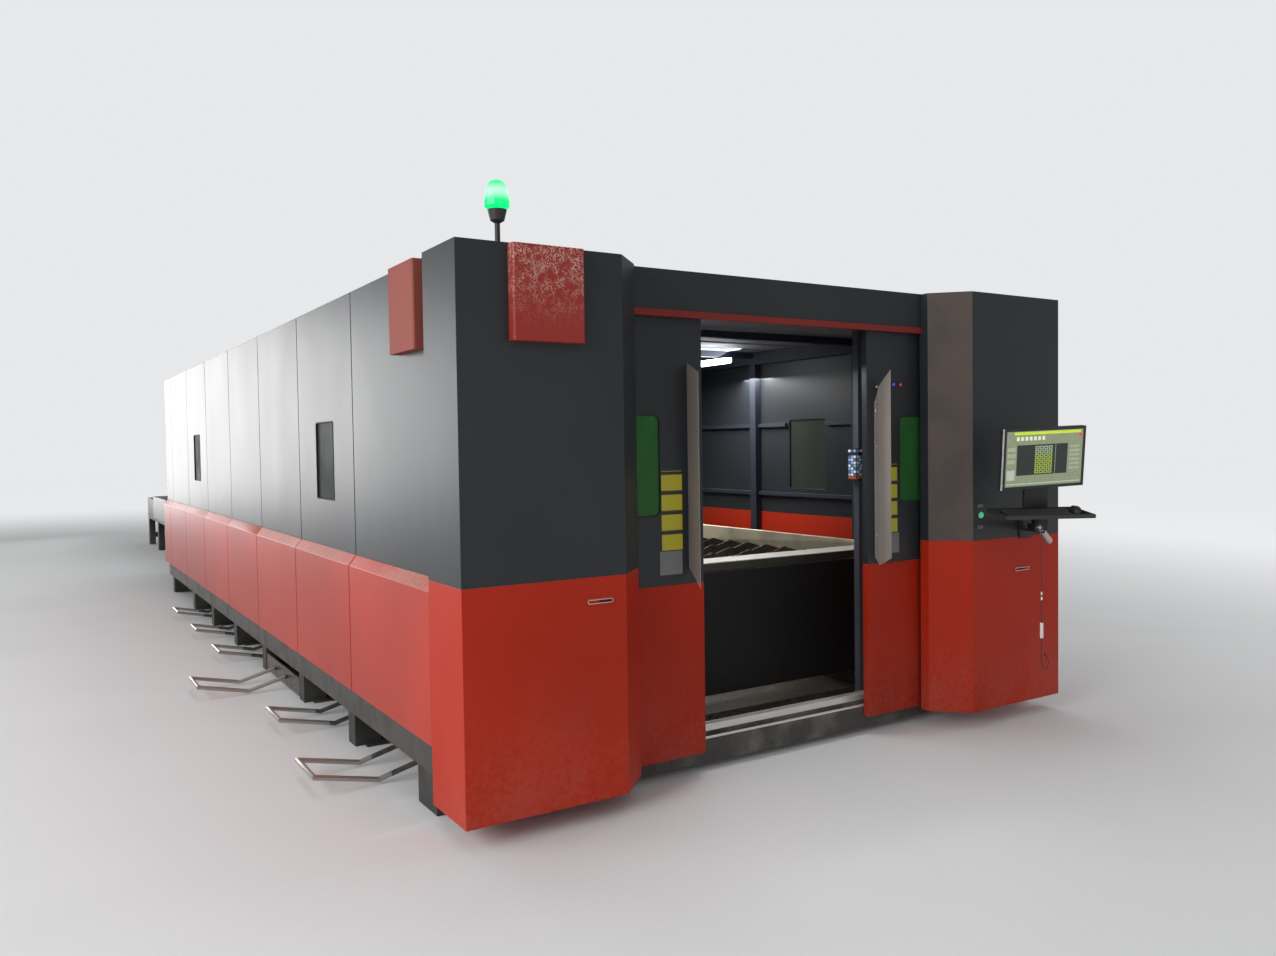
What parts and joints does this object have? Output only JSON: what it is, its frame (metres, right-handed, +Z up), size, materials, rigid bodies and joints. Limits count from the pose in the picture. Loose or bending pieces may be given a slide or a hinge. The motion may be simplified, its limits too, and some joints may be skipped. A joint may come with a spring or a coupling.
{
  "type": "fiber laser cutting machine",
  "caption": "Enclosed laser cutter with two sliding doors, green windows, a swing-arm operator console, scrap drawers and a pallet changer at its back.",
  "frame": {"origin": "middle of the whole machine's outline on the floor, with the drawers as they stand", "axes": "+Z up; the door end faces -Y and the pallets leave towards +Y; +X is the right side seen from the door end"},
  "size_m": [4.2352, 15.8886, 2.6753],
  "materials": {
    "graphite_paint": "semi-gloss dark grey paint",
    "red_paint": "semi-gloss orange-red paint",
    "frame_paint": "satin dark grey paint",
    "bed_paint": "satin cream paint",
    "black_paint": "matt black paint",
    "bare_steel": "bare steel",
    "cut_steel": "scorched bare steel",
    "green_acrylic": "dark green see-through laser-safety sheet",
    "black_plastic": "satin black plastic",
    "grey_plastic": "grey plastic",
    "beacon_green": "lit green lens",
    "lamp_white": "white plastic",
    "nozzle_brass": "turned"
  },
  "bodies": {
    "machine": {"base_frame": "frame_paint", "beacon_base": "black_plastic", "beacon_dome": "beacon_green", "bed_frame": "bed_paint", "bed_front_cover": "black_paint", "console_bracket": "frame_paint", "door_frame": "frame_paint", "door_header": "graphite_paint", "door_threshold": "bare_steel", "enclosure_frame": "frame_paint", "front_sign_box": "red_paint", "header_strip": "red_paint", "interior_lamp": "lamp_white", "left_column_lower": "red_paint", "left_column_upper": "graphite_paint", "left_front_window": "green_acrylic", "left_gantry_rail": "bare_steel", "left_lower_wall": "red_paint", "left_rear_window": "green_acrylic", "left_upper_wall": "graphite_paint", "pallet_changer": "frame_paint", "pendant": "black_plastic", "rear_wall": "graphite_paint", "right_column_lower": "red_paint", "right_column_upper": "graphite_paint", "right_front_window": "green_acrylic", "right_gantry_rail": "bare_steel", "right_lower_wall": "red_paint", "right_upper_wall": "graphite_paint", "roof": "graphite_paint", "side_sign_box": "red_paint"},
    "left_door": {"left_door_lower": "red_paint", "left_door_upper": "graphite_paint", "left_door_window": "green_acrylic", "left_door_handle": "frame_paint"},
    "right_door": {"right_door_lower": "red_paint", "right_door_upper": "graphite_paint", "right_door_window": "green_acrylic", "right_door_handle": "frame_paint"},
    "gantry": {"gantry_beam": "frame_paint"},
    "cross_carriage": {"head_carriage": "frame_paint"},
    "head": {"cutting_head": "grey_plastic", "nozzle": "nozzle_brass"},
    "pallet_one": {"upper_pallet": "cut_steel"},
    "pallet_two": {"lower_pallet": "cut_steel"},
    "console": {"console_arm": "frame_paint", "console_tray": "black_plastic", "monitor_stand": "black_plastic", "keyboard": "black_plastic", "mouse": "black_plastic", "hanging_cord": "black_plastic", "cord_adapter": "lamp_white"},
    "screen": {"monitor": "black_plastic"},
    "button": {"start_button": "beacon_green"},
    "drawer_1": {"scrap_drawer_1": "bare_steel"},
    "drawer_2": {"scrap_drawer_2": "bare_steel"},
    "drawer_3": {"scrap_drawer_3": "bare_steel"},
    "drawer_4": {"scrap_drawer_4": "bare_steel"},
    "drawer_5": {"scrap_drawer_5": "bare_steel"},
    "drawer_6": {"scrap_drawer_6": "bare_steel"}
  },
  "joints": [
    {"name": "left_door_slide", "type": "slide", "parent": "machine", "child": "left_door", "axis": [1, 0, 0], "range_m": [-0.11, 0.519]},
    {"name": "right_door_slide", "type": "slide", "parent": "machine", "child": "right_door", "axis": [-1, 0, 0], "range_m": [-0.1, 0.563]},
    {"name": "gantry_travel", "type": "slide", "parent": "machine", "child": "gantry", "axis": [0, 1, 0], "range_m": [-6.35, 0.8]},
    {"name": "carriage_travel", "type": "slide", "parent": "gantry", "child": "cross_carriage", "axis": [1, 0, 0], "range_m": [-1.15, 1.15]},
    {"name": "head_travel", "type": "slide", "parent": "cross_carriage", "child": "head", "axis": [0, 0, 1], "range_m": [-0.04, 0.08]},
    {"name": "upper_pallet_travel", "type": "slide", "parent": "machine", "child": "pallet_one", "axis": [0, 1, 0], "range_m": [0, 8.12]},
    {"name": "lower_pallet_travel", "type": "slide", "parent": "machine", "child": "pallet_two", "axis": [0, -1, 0], "range_m": [0, 8.12]},
    {"name": "drawer_1_slide", "type": "slide", "parent": "machine", "child": "drawer_1", "axis": [-1, 0, 0], "range_m": [-0.14, 2.4]},
    {"name": "drawer_2_slide", "type": "slide", "parent": "machine", "child": "drawer_2", "axis": [-1, 0, 0], "range_m": [-0.05, 2.4]},
    {"name": "drawer_3_slide", "type": "slide", "parent": "machine", "child": "drawer_3", "axis": [-1, 0, 0], "range_m": [-0.31, 2.4]},
    {"name": "drawer_4_slide", "type": "slide", "parent": "machine", "child": "drawer_4", "axis": [-1, 0, 0], "range_m": [0, 2.4]},
    {"name": "drawer_5_slide", "type": "slide", "parent": "machine", "child": "drawer_5", "axis": [-1, 0, 0], "range_m": [0, 2.4]},
    {"name": "drawer_6_slide", "type": "slide", "parent": "machine", "child": "drawer_6", "axis": [-1, 0, 0], "range_m": [0, 2.4]},
    {"name": "console_swing", "type": "hinge", "parent": "machine", "child": "console", "pos_m": [1.80465, -7.50075, 1.1075], "axis": [0, 0, 1], "range_deg": [-4, 60]},
    {"name": "screen_tilt", "type": "hinge", "parent": "console", "child": "screen", "pos_m": [1.59947, -7.67407, 1.39654], "axis": [0.9773, -0.2095, 0.0312], "range_deg": [-15, 10]},
    {"name": "start_button_press", "type": "slide", "parent": "machine", "child": "button", "axis": [0, 1, 0], "range_m": [0, 0.004], "stiffness_N_per_m": 400}
  ]
}
